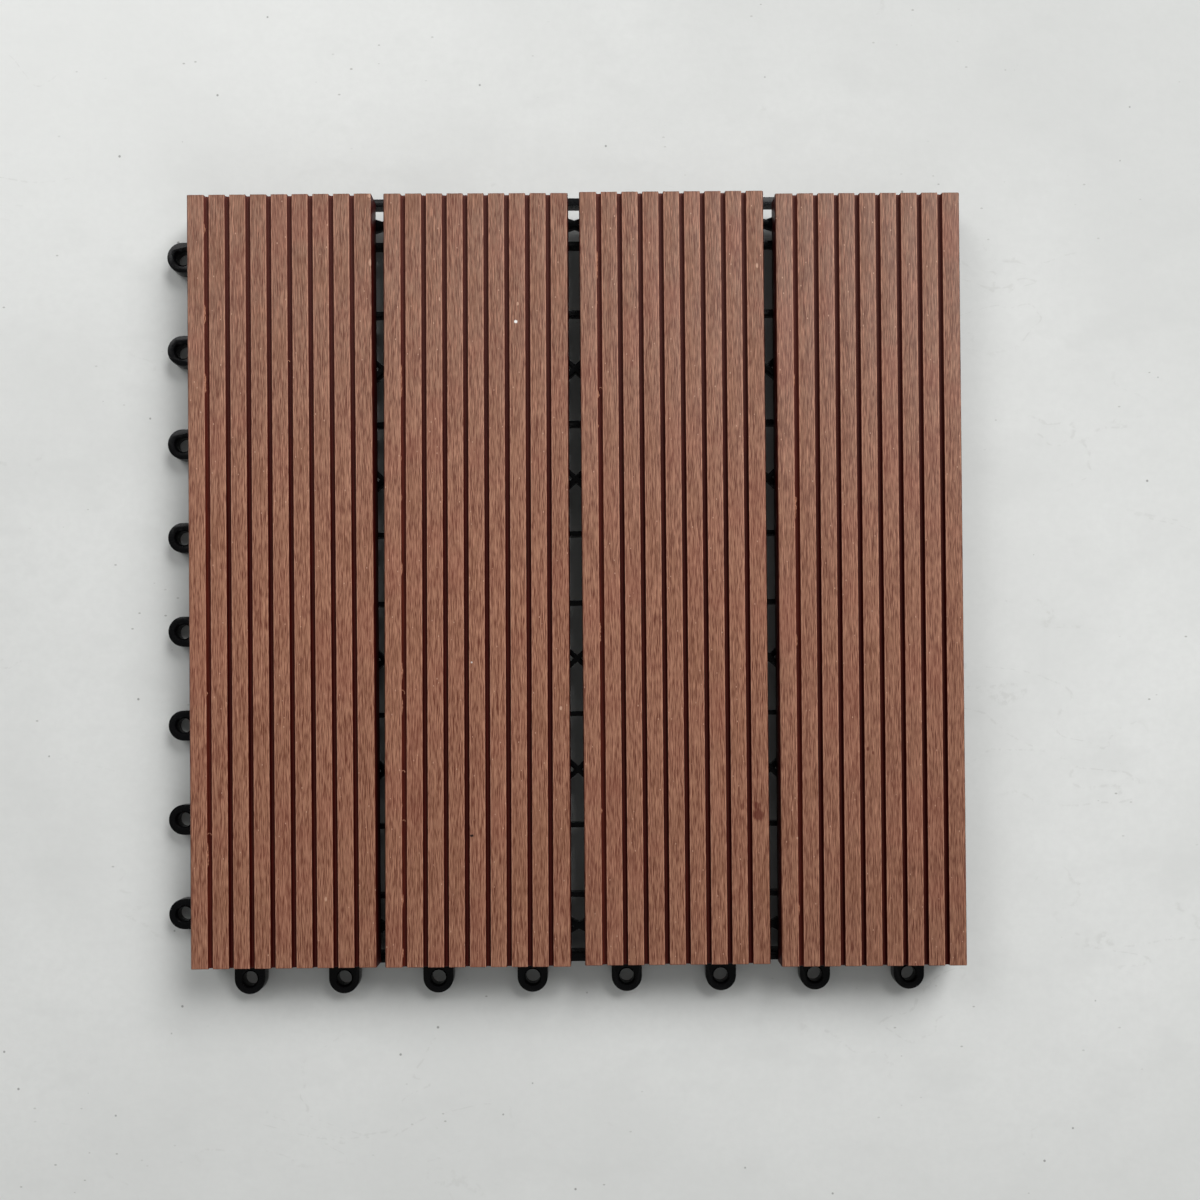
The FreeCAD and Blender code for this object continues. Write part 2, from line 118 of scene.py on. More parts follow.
# %% [markdown]
# Colours are easiest to pick as eight-bit values from the photograph, but shaders want
# linear light. The curve below is the standard one between the two.

# %% Colour helper
def tone(red, green, blue):
    """An eight-bit colour as the linear colour that a shader socket takes."""
    linear = []
    for value in (red, green, blue):
        share = value / 255
        if share <= 0.04045:
            linear.append(share / 12.92)
        else:
            linear.append(((share + 0.055) / 1.055) ** 2.4)
    return (*linear, 1.0)


# %% [markdown]
# Shader maths reads best as plain sums. A Signal wraps one socket of a node tree, so that
# signs such as + and * add Math nodes behind the scenes. A Finish holds the tree and one
# method that adds any other node.

# %% Signal and Finish
class Signal:
    """One output socket that Python's signs can work on."""

    def __init__(self, finish, socket):
        self.finish = finish
        self.socket = socket

    def math(self, operation, *values):
        inputs = dict(enumerate(values))
        return self.finish.node("ShaderNodeMath", {"operation": operation}, inputs)

    def __add__(self, other):
        return self.math("ADD", self, other)

    __radd__ = __add__

    def __sub__(self, other):
        return self.math("SUBTRACT", self, other)

    def __mul__(self, other):
        return self.math("MULTIPLY", self, other)

    def __truediv__(self, other):
        return self.math("DIVIDE", self, other)

    def __abs__(self):
        return self.math("ABSOLUTE", self)

    def rounded(self):
        return self.math("ROUND", self)

    def lowest(self, other):
        return self.math("MINIMUM", self, other)

    def highest(self, other):
        return self.math("MAXIMUM", self, other)

    def rise(self, start, end, low=0.0, high=1.0):
        """A smooth step: low before start, high after end."""
        settings = {"interpolation_type": "SMOOTHSTEP", "clamp": True}
        inputs = {"Value": self, "From Min": start, "From Max": end, "To Min": low, "To Max": high}
        return self.finish.node("ShaderNodeMapRange", settings, inputs)


class Finish:
    """A material that is put together node by node."""

    def __init__(self, name):
        self.material = bpy.data.materials.new(name)
        self.material.use_nodes = True
        self.tree = self.material.node_tree
        self.tree.nodes.clear()

    def node(self, kind, settings, inputs, output=0):
        """Add a node, set it up, feed its inputs and hand back one of its outputs."""
        made = self.tree.nodes.new(kind)
        for key, value in settings.items():
            setattr(made, key, value)
        for key, value in inputs.items():
            if isinstance(value, Signal):
                self.tree.links.new(value.socket, made.inputs[key])
            else:
                made.inputs[key].default_value = value
        return Signal(self, made.outputs[output])

    def place(self, centre=(0, 0, 0), turn=0.0):
        """Where a point of the surface lies, in millimetres from a centre."""
        spot = self.node("ShaderNodeTexCoord", {}, {}, "Object")
        inputs = {
            "Vector": spot,
            "Location": centre,
            "Rotation": (0, 0, turn),
            "Scale": (MM, MM, MM),
        }
        return self.node("ShaderNodeMapping", {"vector_type": "TEXTURE"}, inputs)

    def parts(self, vector):
        """The X, Y and Z of a vector as three signals."""
        made = self.tree.nodes.new("ShaderNodeSeparateXYZ")
        self.tree.links.new(vector.socket, made.inputs[0])
        return [Signal(self, made.outputs[axis]) for axis in range(3)]

    def vector(self, x, y, z):
        return self.node("ShaderNodeCombineXYZ", {}, {"X": x, "Y": y, "Z": z})

    def noise(self, vector, detail=2.0, roughness=0.5, distortion=0.0):
        """Soft noise with features about one unit of the vector across."""
        inputs = {
            "Vector": vector,
            "Scale": 1.0,
            "Detail": detail,
            "Roughness": roughness,
            "Distortion": distortion,
        }
        return self.node("ShaderNodeTexNoise", {}, inputs)

    def grains(self, vector):
        """Distance to the nearest of many scattered points."""
        inputs = {"Vector": vector, "Scale": 1.0, "Randomness": 1.0}
        return self.node("ShaderNodeTexVoronoi", {}, inputs, "Distance")

    def blend(self, share, first, second):
        """Mix two colours: the first where share is 0, the second where it is 1."""
        settings = {"data_type": "RGBA", "clamp_factor": True}
        return self.node("ShaderNodeMix", settings, {0: share, 6: first, 7: second}, 2)

    def bump(self, height, depth, strength):
        """Lean the surface as if the height stood out by depth, in millimetres."""
        inputs = {"Height": height, "Distance": depth * MM, "Strength": strength}
        return self.node("ShaderNodeBump", {}, inputs)

    def close(self, **inputs):
        """End in the main shader and the material's output."""
        named = {key.replace("_", " "): value for key, value in inputs.items()}
        shader = self.node("ShaderNodeBsdfPrincipled", {}, named)
        output = self.tree.nodes.new("ShaderNodeOutputMaterial")
        self.tree.links.new(shader.socket, output.inputs["Surface"])
        return self.material


print("helpers ready")

# %% [markdown]
# The boards are extruded from wood flour and plastic. The extruder leaves a smooth, redder
# skin, which still shows in the grooves, on the sides and underneath. The lands between the
# grooves were brushed, so they are paler and full of fine fibres that run lengthways. Towards
# the far end the colour is painted greyer, a painted sheen of the daylight from behind, and the
# middle of each groove is painted lighter, painted light between its shaded walls. All of it is
# worked out from where a point lies on its own board: across, along and up, in millimetres. The
# first two numbers of a set of streaks say how many of them a millimetre holds across and along.

# %% Board finish
LAND_DARK = tone(94, 43, 29)
LAND_MIDDLE = tone(131, 82, 61)
LAND_PALE = tone(178, 129, 103)
LAND_PINK = tone(137, 79, 64)
LAND_OLIVE = tone(130, 86, 63)
# Greyer land tones for the far end: painted sheen of the daylight from behind
FAR_SHEEN_DARK = tone(90, 49, 37)
FAR_SHEEN_PALE = tone(154, 119, 99)
LAND_DULL = tone(104, 76, 66)
EDGE_PALE = tone(196, 142, 117)
SKIN_RED = tone(68, 10, 4)
SKIN_DARK = tone(46, 4, 2)
SKIN_RUBBED = tone(104, 40, 28)
# Lighter groove floor colour: painted light and sheen
LIT_GROOVE_BED = tone(94, 40, 32)
# Greyer groove colour for the far end: painted sheen
GROOVE_FAR_SHEEN = tone(108, 62, 54)
CUT_END = tone(104, 60, 48)
MARK_COLOURS = {
    "dark": tone(30, 14, 12),
    "rust": tone(92, 36, 26),
    "pale": tone(206, 164, 140),
    "white": tone(244, 242, 238),
}


def board_finish(name, centre, turn, seed, dullness, marks):
    """The composite, with its pattern centred on one board and turned like it."""
    skin = Finish(name)
    across, along, up = skin.parts(skin.place(centre, turn))

    # Where the point lies: on a land, at a land's edge, down in a groove or on an end
    number = (across / GROOVE_PITCH - 0.5).rounded() + 0.5
    number = number.lowest(LAST_GROOVE).highest(-LAST_GROOVE)
    from_groove = abs(across - number * GROOVE_PITCH)
    land_number = (across / GROOVE_PITCH).rounded()
    top = up.rise(BOARD_TOP - 0.35, BOARD_TOP - 0.12)
    inside = abs(across).rise(BOARD_WIDTH / 2 - 0.02, BOARD_WIDTH / 2 - 0.25)
    ends = abs(along).rise(BOARD_LENGTH / 2 - 0.25, BOARD_LENGTH / 2 - 0.05)
    half = GROOVE_WIDTH / 2
    land = top * inside * from_groove.rise(half, half + 0.16)
    near_edge = from_groove.rise(half + 0.65, half + 0.35)
    groove_floor = BOARD_TOP - GROOVE_DEPTH
    above_floor = up.rise(groove_floor - 0.3, groove_floor - 0.1)
    in_groove = above_floor * from_groove.rise(half + 0.1, half)
    first = in_groove * (number + LAST_GROOVE).rise(0.4, 0.2)
    middle = in_groove * from_groove.rise(half - 0.25, half - 0.75)

    # Fibres: fine and coarse streaks, dark pores and pale flecks
    drift = skin.noise(skin.vector(across * 0.2, along * 0.03, seed), 1.0)
    bent = across + drift * 0.15

    def streaks(rate_across, rate_along, shift, roughness):
        spot = skin.vector(bent * rate_across, along * rate_along, seed + shift)
        return skin.noise(spot, 1.0, roughness)

    fine = streaks(6.0, 0.27, 3.1, 0.5)
    broad = streaks(6.5, 0.1, 7.7, 0.5)
    hairs = streaks(6.0, 0.16, 44.8, 0.6)
    pores = streaks(4.8, 0.35, 31.4, 0.5)
    tint = skin.noise(skin.vector(land_number * 0.7, along * 0.035, seed + 21.9))
    flecks = skin.grains(skin.vector(across * 0.36, along * 0.2, seed))

    # Colour of the brushed lands
    streak = (fine * 0.5 + broad * 0.5).rise(0.4, 0.6)
    colour = skin.blend(streak, LAND_DARK, LAND_PALE)
    # Towards the far end the lands turn greyer: painted sheen of the daylight from behind
    sheen_greyed = skin.blend(streak, FAR_SHEEN_DARK, FAR_SHEEN_PALE)
    colour = skin.blend(along.rise(-20.0, BOARD_LENGTH / 2), colour, sheen_greyed)
    colour = skin.blend(0.15, colour, LAND_MIDDLE)
    colour = skin.blend(dullness, colour, LAND_DULL)
    colour = skin.blend(tint.rise(0.5, 0.7) * 0.3, colour, LAND_PINK)
    colour = skin.blend(tint.rise(0.5, 0.3) * 0.3, colour, LAND_OLIVE)
    colour = skin.blend(pores.rise(0.6, 0.72) * 0.1, colour, LAND_DARK)
    colour = skin.blend(hairs.rise(0.56, 0.68) * 0.65, colour, EDGE_PALE)
    colour = skin.blend(flecks.rise(0.09, 0.05) * 0.7, colour, MARK_COLOURS["pale"])
    worn = near_edge * fine.rise(0.38, 0.6, 0.15, 0.6)
    colour = skin.blend(worn, colour, EDGE_PALE)
    for mark_across, mark_along, width, length, strength, kind in marks:
        aside = (across - mark_across) / (width / 2)
        ahead = (along - mark_along) / (length / 2)
        off = skin.vector(aside, ahead, 0.0)
        reach = skin.node("ShaderNodeVectorMath", {"operation": "LENGTH"}, {0: off}, "Value")
        spot = (reach + (fine - 0.5) * 1.4).rise(1.1, 0.7) * strength
        colour = skin.blend(spot, colour, MARK_COLOURS[kind])

    # Colour of the smooth skin in the grooves and on the sides, and of the sawn ends
    skin_mix = skin.noise(skin.vector(across * 0.9, along * 0.05, up * 0.9), 3.0, 0.6)
    red = skin.blend(skin_mix.rise(0.35, 0.65), SKIN_DARK, SKIN_RED)
    red = skin.blend(first * skin_mix.rise(0.3, 0.6, 0.3, 0.8), red, SKIN_RUBBED)
    # The middle of each groove is painted lighter: painted light and sheen on the groove floor
    # between its shaded walls
    red = skin.blend(middle * 0.5, red, LIT_GROOVE_BED)
    # Towards the far end the grooves are painted greyer: painted sheen of the daylight from behind
    far_sheen_share = along.rise(10.0, BOARD_LENGTH / 2)
    red = skin.blend(in_groove * far_sheen_share * 0.55, red, GROOVE_FAR_SHEEN)
    saw = skin.noise(skin.vector(across * 2.2, seed, up * 2.2), 4.0, 0.7)
    end_colour = skin.blend(saw.rise(0.35, 0.65), SKIN_RED, CUT_END)
    colour = skin.blend(land, red, colour)
    colour = skin.blend(ends, colour, end_colour)

    # The skin is a little glossier than the brushed wood
    roughness = 0.5 + land * fine * 0.25
    height = fine * 0.6 - pores * 0.4 + broad * 0.3
    height = height * (land * 0.85 + 0.15) + saw * ends * 0.5
    normal = skin.bump(height, 0.16, 0.7)
    return skin.close(
        Base_Color=colour,
        Roughness=roughness,
        Normal=normal,
        Specular_IOR_Level=0.12,
        Coat_Weight=land * 0.25,
        Coat_Roughness=0.5,
    )


# %% [markdown]
# The base is black polypropylene, injection moulded. It is nearly black with a satin sheen,
# with faint flow marks and a fine grain, and a trace of pale dust.

# %% Base finish
def plastic_finish():
    """Black moulded plastic with a fine grain and a little dust."""
    skin = Finish("base_plastic")
    across, along, up = skin.parts(skin.place())
    flow = skin.noise(skin.vector(across * 0.05, along * 0.05, up * 0.2), 3.0, 0.55, 0.4)
    grain = skin.noise(skin.vector(across * 3.0, along * 3.0, up * 3.0), 2.0, 0.6)
    dust = skin.noise(skin.vector(across * 1.3, along * 1.3, up * 0.9), 4.0, 0.7)
    colour = skin.blend(flow.rise(0.35, 0.65), tone(4, 4, 5), tone(9, 9, 11))
    colour = skin.blend(dust.rise(0.64, 0.82) * 0.12, colour, tone(104, 102, 96))
    roughness = 0.2 + flow * 0.12 + dust.rise(0.5, 0.8) * 0.2
    normal = skin.bump(grain * 0.6 + flow, 0.03, 0.6)
    return skin.close(
        Base_Color=colour,
        Roughness=roughness,
        Normal=normal,
        Specular_IOR_Level=0.16,
    )


# %% [markdown]
# The screws are zinc-plated steel. Zinc is a soft blue-grey with cloudy passivation, and a
# driver leaves fine rub marks around the recess.

# %% Screw finish
def steel_finish():
    """Zinc-plated steel."""
    skin = Finish("screw_steel")
    across, along, up = skin.parts(skin.place())
    cloud = skin.noise(skin.vector(across * 0.8, along * 0.8, up * 0.8), 3.0, 0.6)
    rub = skin.noise(skin.vector(across * 5.0, along * 0.9, up * 2.0), 2.0, 0.6)
    colour = skin.blend(cloud.rise(0.35, 0.65), tone(168, 170, 172), tone(200, 198, 188))
    roughness = 0.28 + cloud * 0.18 + rub.rise(0.5, 0.7) * 0.12
    normal = skin.bump(rub, 0.01, 0.5)
    return skin.close(Base_Color=colour, Roughness=roughness, Metallic=1.0, Normal=normal)


BASE_PLASTIC = plastic_finish()
SCREW_STEEL = steel_finish()
print("finishes:", BASE_PLASTIC.name, SCREW_STEEL.name)

# %% [markdown]
# A moulded or planed edge is never razor sharp, and the thin line of light on it is what
# makes a render look like a thing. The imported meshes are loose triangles, so a copy is
# merged and its flat faces are joined up again before a narrow bevel goes round its edges.

# %% Softened copies of the solids
MERGE_REACH = 0.002
FLAT_WITHIN = math.radians(0.3)
SHARP_FROM = math.radians(40)
SMOOTH_WITHIN = math.radians(35)
BASE_ROUND = 0.2
BOARD_ROUND = 0.22


def softened(node, name, width):
    """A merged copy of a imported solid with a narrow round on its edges."""
    piece = copy_of(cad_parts[node], name)
    only(piece)
    bpy.ops.object.mode_set(mode="EDIT")
    bpy.ops.mesh.select_all(action="SELECT")
    bpy.ops.mesh.remove_doubles(threshold=MERGE_REACH * MM)
    bpy.ops.mesh.dissolve_limited(angle_limit=FLAT_WITHIN)
    bpy.ops.object.mode_set(mode="OBJECT")
    apply_modifier(
        piece,
        "BEVEL",
        "edge_round",
        width=width * MM,
        segments=2,
        limit_method="ANGLE",
        angle_limit=SHARP_FROM,
        use_clamp_overlap=True,
    )
    only(piece)
    bpy.ops.object.shade_smooth_by_angle(angle=SMOOTH_WITHIN)
    return piece


base = softened("base_grid", "base_moulding", BASE_ROUND)
settle(base, "base_moulding", BASE_PLASTIC)
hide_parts("base_grid")
print("base faces:", len(base.data.polygons))

# %% [markdown]
# Each board was screwed down by hand, so each lies a hair out of line with the next. Its
# pattern has to turn with it. The direction of its longest edge gives the turn.

# %% Boards
def lie_of(piece):
    """Middle of a board on the floor plan, and its turn about the upright axis."""
    middle = middle_of(piece)
    spans = []
    for edge in piece.data.edges:
        start, end = (piece.data.vertices[index].co for index in edge.vertices)
        spans.append(end - start)
    longest = max(spans, key=lambda span: span.length)
    if longest.y < 0:
        longest = -longest
    turn = math.atan2(-longest.x, longest.y)
    return (middle.x, middle.y, 0.0), turn


# Marks on each board: across and along its middle, width, length, strength and kind
MARKS = {
    "slat_left": [
        (16.4, -123.4, 0.9, 2.0, 0.8, "pale"),
        (3.3, 84.7, 0.8, 1.2, 0.8, "pale"),
        (35.3, 123.0, 1.2, 3.0, 0.6, "pale"),
        (35.2, 149.0, 1.4, 1.6, 0.6, "pale"),
    ],
    "slat_mid_left": [
        (-2.0, -32.4, 0.7, 0.7, 0.6, "white"),
        (-2.3, -99.3, 1.4, 1.1, 1.0, "dark"),
        (15.5, 99.8, 1.3, 1.3, 1.0, "white"),
        (16.3, 106.8, 0.8, 1.6, 0.7, "pale"),
        (-14.0, 108.7, 0.8, 1.6, 0.7, "pale"),
        (32.4, -50.3, 1.0, 1.6, 0.8, "pale"),
    ],
    "slat_mid_right": [
        (31.7, -92.3, 5.0, 5.2, 0.75, "rust"),
        (31.0, -88.9, 3.0, 3.2, 0.65, "rust"),
        (25.3, -89.4, 2.0, 3.0, 0.5, "rust"),
        (33.1, 120.7, 1.0, 2.2, 0.7, "pale"),
        (27.6, 45.2, 0.9, 1.6, 0.7, "pale"),
    ],
    "slat_right": [
        (-1.9, -66.2, 1.2, 2.0, 0.75, "rust"),
        (0.2, -67.7, 1.1, 1.5, 0.65, "rust"),
        (-29.4, -100.4, 0.8, 1.0, 0.9, "pale"),
    ],
}

# The two boards on the right are duller: how far each colour goes to the dull tone
DULLNESS = {"slat_left": 0.0, "slat_mid_left": 0.0, "slat_mid_right": 0.06, "slat_right": 0.15}

lies = {}
for order, node in enumerate(BOARDS):
    board = softened(node, f"board_{order + 1}", BOARD_ROUND)
    lies[node] = lie_of(board)
    centre, turn = lies[node]
    seed = 5.0 * order + 1.7
    finish = board_finish(
        f"composite_{order + 1}", centre, turn, seed, DULLNESS[node], MARKS[node]
    )
    settle(board, f"board_{order + 1}", finish)
    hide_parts(node)
    print(board.name, "turn", round(math.degrees(turn), 3), "faces", len(board.data.polygons))

# %% [markdown]
# The saw and the groove cutter leave torn fibres. They cling to the left edge of the first
# groove of every board, and a few have curled up. A fibre strip is a narrow grid, made ragged
# by a seeded random move, drawn in at both ends and given a thickness, so no two look alike.
# The strips of one board are joined, and they lie no higher than the board's own top.

# %% Torn fibres
def fibre_finish():
    """Pale torn composite with fine streaks along it."""
    skin = Finish("torn_fibre")
    across, along, up = skin.parts(skin.place())
    streak = skin.noise(skin.vector(across * 3.0, along * 0.5, up * 3.0), 3.0, 0.65)
    colour = skin.blend(streak.rise(0.35, 0.65), tone(124, 74, 54), tone(186, 130, 104))
    normal = skin.bump(streak, 0.1, 0.6)
    return skin.close(
        Base_Color=colour,
        Roughness=0.6 + streak * 0.3,
        Normal=normal,
        Specular_IOR_Level=0.2,
    )


# Each strip: where it starts and ends along the board, and how far it leans over the groove
STRIPS = {
    "slat_left": [
        (134.7, 139.0, 0.43),
        (99.4, 107.2, 0.39),
        (72.3, 80.8, 0.47),
        (-44.8, -42.4, 0.39),
        (-111.0, -101.4, 0.35),
    ],
    "slat_mid_left": [
        (70.3, 83.9, 0.35),
        (45.2, 48.3, 0.31),
        (30.0, 33.5, 0.35),
        (1.4, 6.8, 0.43),
        (-39.3, -32.0, 0.39),
        (-53.0, -45.6, 0.31),
        (-88.6, -86.2, 0.31),
        (-127.3, -120.7, 0.39),
        (-146.7, -142.0, 0.39),
    ],
    "slat_mid_right": [
        (115.7, 127.3, 0.35),
        (106.4, 107.8, 0.55),
        (69.2, 72.7, 0.55),
        (57.6, 59.9, 0.31),
        (-25.8, -16.9, 0.35),
        (-91.7, -88.6, 0.31),
    ],
    "slat_right": [
        (74.2, 80.0, 0.35),
        (23.1, 32.0, 0.39),
        (-26.6, -21.5, 0.39),
        (-80.4, -78.5, 0.31),
        (-130.4, -125.4, 0.35),
    ],
}

# Each curl: across and along the board, and the radius of its arc
CURLS = {
    "slat_left": [(-28.3, -98.3, 0.7), (3.3, 84.7, 0.5)],
    "slat_mid_left": [(-29.3, -44.2, 1.3), (-28.6, -74.6, 0.6), (-28.4, -93.6, 0.5)],
    "slat_mid_right": [(-28.0, 73.2, 0.5)],
    "slat_right": [(-29.0, 31.0, 0.5)],
}


# Measures of a strip, then those of a hair that has curled up, in millimetres
STRIP_ROOT = 0.45
STRIP_STEP = 0.7
STRIP_RAGGED = 0.16
STRIP_TAPER = 1.2
STRIP_THICKNESS = 0.22
STRIP_POINT = 0.15
STRIP_GRIP = 0.2
STRIP_SUNK = 0.1
UNDER_TOP = 0.02
HAIR_RADIUS = 0.12
HAIR_SUNK = 0.15


def make_strip(start, end, lean, seed):
    """One torn strip, flat on top, with its left part sunk in the land."""
    width = lean + STRIP_ROOT
    middle = FIRST_GROOVE_LEFT + lean - width / 2
    bpy.ops.object.select_all(action="DESELECT")
    bpy.ops.mesh.primitive_grid_add(
        x_subdivisions=2,
        y_subdivisions=max(4, round((end - start) / STRIP_STEP)),
        size=1,
        location=(middle * MM, (start + end) / 2 * MM, (BOARD_TOP - STRIP_SUNK) * MM),
    )
    strip = bpy.context.active_object
    strip.scale = (width * MM, (end - start) * MM, 1.0)
    bpy.ops.object.transform_apply(location=True, rotation=True, scale=True)
    bpy.ops.object.mode_set(mode="EDIT")
    bpy.ops.mesh.select_all(action="SELECT")
    bpy.ops.transform.vertex_random(offset=STRIP_RAGGED * MM, uniform=1.0, seed=seed)
    bpy.ops.object.mode_set(mode="OBJECT")
    root = (FIRST_GROOVE_LEFT - STRIP_GRIP) * MM
    for vertex in strip.data.vertices:
        from_end = min(vertex.co.y - start * MM, end * MM - vertex.co.y)
        taper = max(STRIP_POINT, min(1.0, from_end / (STRIP_TAPER * MM)))
        vertex.co.x = root + (vertex.co.x - root) * taper
        vertex.co.z = min(vertex.co.z, (BOARD_TOP - UNDER_TOP) * MM)
    apply_modifier(strip, "SOLIDIFY", "thick", thickness=STRIP_THICKNESS * MM, offset=-1.0)
    return strip


def make_curl(across, along, radius):
    """A hair that has curled up: half a thin ring, lying flat."""
    bpy.ops.object.select_all(action="DESELECT")
    bpy.ops.mesh.primitive_torus_add(
        major_radius=radius * MM,
        minor_radius=HAIR_RADIUS * MM,
        major_segments=24,
        minor_segments=8,
        location=(across * MM, along * MM, (BOARD_TOP - HAIR_SUNK) * MM),
    )
    curl = bpy.context.active_object
    bpy.ops.object.transform_apply(location=True, rotation=True, scale=True)
    bpy.ops.object.mode_set(mode="EDIT")
    bpy.ops.mesh.select_all(action="SELECT")
    bpy.ops.mesh.bisect(
        plane_co=(across * MM, along * MM, 0.0),
        plane_no=(0.3, 1.0, 0.0),
        use_fill=True,
        clear_inner=True,
    )
    bpy.ops.object.mode_set(mode="OBJECT")
    return curl


FIBRE = fibre_finish()
for order, node in enumerate(BOARDS):
    pieces = []
    for index, (start, end, lean) in enumerate(STRIPS[node]):
        pieces.append(make_strip(start, end, lean, 20 * order + index + 1))
    for across, along, radius in CURLS[node]:
        pieces.append(make_curl(across, along, radius))
    bpy.ops.object.select_all(action="DESELECT")
    for piece in pieces:
        piece.select_set(True)
    bpy.context.view_layer.objects.active = pieces[0]
    bpy.ops.object.join()
    fibres = bpy.context.active_object
    centre, turn = lies[node]
    fibres.data.transform(Matrix.Translation(centre) @ Matrix.Rotation(turn, 4, "Z"))
    settle(fibres, f"fibres_{order + 1}", FIBRE)
    fibre_top = max(vertex.co.z for vertex in fibres.data.vertices)
    print(fibres.name, "pieces", len(pieces), "top", round(fibre_top / MM, 3))

# %% [markdown]
# The screws sit up in their posts and only show from below. One is shaped with a domed head
# and a cross recess, then copied to its eleven other places, which are read off the packed
# solids: each of those is one island of the screw node.

# %% Screws
HEAD_WIDTH = 7.0
HEAD_HEIGHT = 2.2
DOME_STEPS = ((0.55, 0.45), (0.7, 0.22))
CORE_WIDTH = 3.0
TIP_LENGTH = 2.4
TIP_SHARE = 0.15
RECESS_SPAN = 4.0
RECESS_WIDTH = 0.95
RECESS_HEIGHT = 2.4
RECESS_DRAFT = 0.62
SCREW_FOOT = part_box("fixing_screws")[0].z / MM
SCREW_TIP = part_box("fixing_screws")[1].z / MM


def screw_places():
    """The middle of each screw, found as islands of the merged screw node."""
    loose = copy_of(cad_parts["fixing_screws"], "screw_islands")
    only(loose)
    bpy.ops.object.mode_set(mode="EDIT")
    bpy.ops.mesh.select_all(action="SELECT")
    bpy.ops.mesh.remove_doubles(threshold=MERGE_REACH * MM)
    bpy.ops.mesh.separate(type="LOOSE")
    bpy.ops.object.mode_set(mode="OBJECT")
    places = []
    for island in list(bpy.context.selected_objects):
        middle = middle_of(island)
        places.append((middle.x, middle.y))
        bpy.data.objects.remove(island)
    return sorted(places)


def faces_where(piece, test):
    """In edit mode's face select, pick just the faces whose middle passes a test."""
    bpy.ops.object.mode_set(mode="OBJECT")
    for element in (piece.data.vertices, piece.data.edges, piece.data.polygons):
        for item in element:
            item.select = False
    for face in piece.data.polygons:
        face.select = test(face.center, face.normal)
    bpy.ops.object.mode_set(mode="EDIT")


def make_screw():
    """A pan head with a cross recess, and a plain core up into the board."""
    bpy.ops.object.select_all(action="DESELECT")
    bpy.ops.mesh.primitive_cylinder_add(
        vertices=32,
        radius=HEAD_WIDTH / 2 * MM,
        depth=HEAD_HEIGHT * MM,
        location=(0, 0, (SCREW_FOOT + HEAD_HEIGHT / 2) * MM),
    )
    screw = bpy.context.active_object
    bpy.ops.object.transform_apply(location=True, rotation=True, scale=True)
    bpy.ops.object.mode_set(mode="EDIT")
    bpy.ops.mesh.select_mode(type="FACE")
    faces_where(screw, lambda middle, normal: normal.z > 0.9)
    bpy.ops.mesh.inset(thickness=(HEAD_WIDTH - CORE_WIDTH) / 2 * MM)
    shank = SCREW_TIP - SCREW_FOOT - HEAD_HEIGHT - TIP_LENGTH
    for rise in (shank, TIP_LENGTH):
        bpy.ops.mesh.extrude_region_move(TRANSFORM_OT_translate={"value": (0, 0, rise * MM)})
    bpy.ops.transform.resize(value=(TIP_SHARE, TIP_SHARE, 1))
    faces_where(screw, lambda middle, normal: normal.z < -0.9)
    for inward, outward in DOME_STEPS:
        bpy.ops.mesh.inset(thickness=inward * MM, depth=outward * MM)
    bpy.ops.object.mode_set(mode="OBJECT")
    for span in ((RECESS_SPAN, RECESS_WIDTH), (RECESS_WIDTH, RECESS_SPAN)):
        bpy.ops.object.select_all(action="DESELECT")
        bpy.ops.mesh.primitive_cube_add(size=1, location=(0, 0, SCREW_FOOT * MM))
        blade = bpy.context.active_object
        blade.scale = (span[0] * MM, span[1] * MM, RECESS_HEIGHT * MM)
        bpy.ops.object.transform_apply(location=True, rotation=True, scale=True)
        bpy.ops.object.mode_set(mode="EDIT")
        bpy.ops.mesh.select_mode(type="FACE")
        faces_where(blade, lambda middle, normal: normal.z > 0.9)
        bpy.ops.transform.resize(value=(RECESS_DRAFT, RECESS_DRAFT, 1))
        bpy.ops.object.mode_set(mode="OBJECT")
        apply_modifier(screw, "BOOLEAN", "recess", operation="DIFFERENCE", object=blade)
        bpy.data.objects.remove(blade)
    only(screw)
    bpy.ops.object.shade_smooth_by_angle(angle=SMOOTH_WITHIN)
    return screw


master_screw = make_screw()
for number, (x, y) in enumerate(screw_places(), start=1):
    screw = copy_of(master_screw, f"screw_{number:02d}")
    screw.data.transform(Matrix.Translation((x, y, 0)))
    settle(screw, f"screw_{number:02d}", SCREW_STEEL)
    if number == 1:
        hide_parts("fixing_screws")
bpy.data.objects.remove(master_screw)
print("screws in place:", number)

# %% [markdown]
# The floor is a plain pale sheet with faint clouds, a few dark specks, patches of fine spatter
# and the odd scuff. Painted shade makes it a little darker towards its far right corner and its
# near side, and painted light makes it a little brighter at its far left. It keeps the tile's
# shadow.

# %% Floor
FLOOR_WIDTH = 4.0


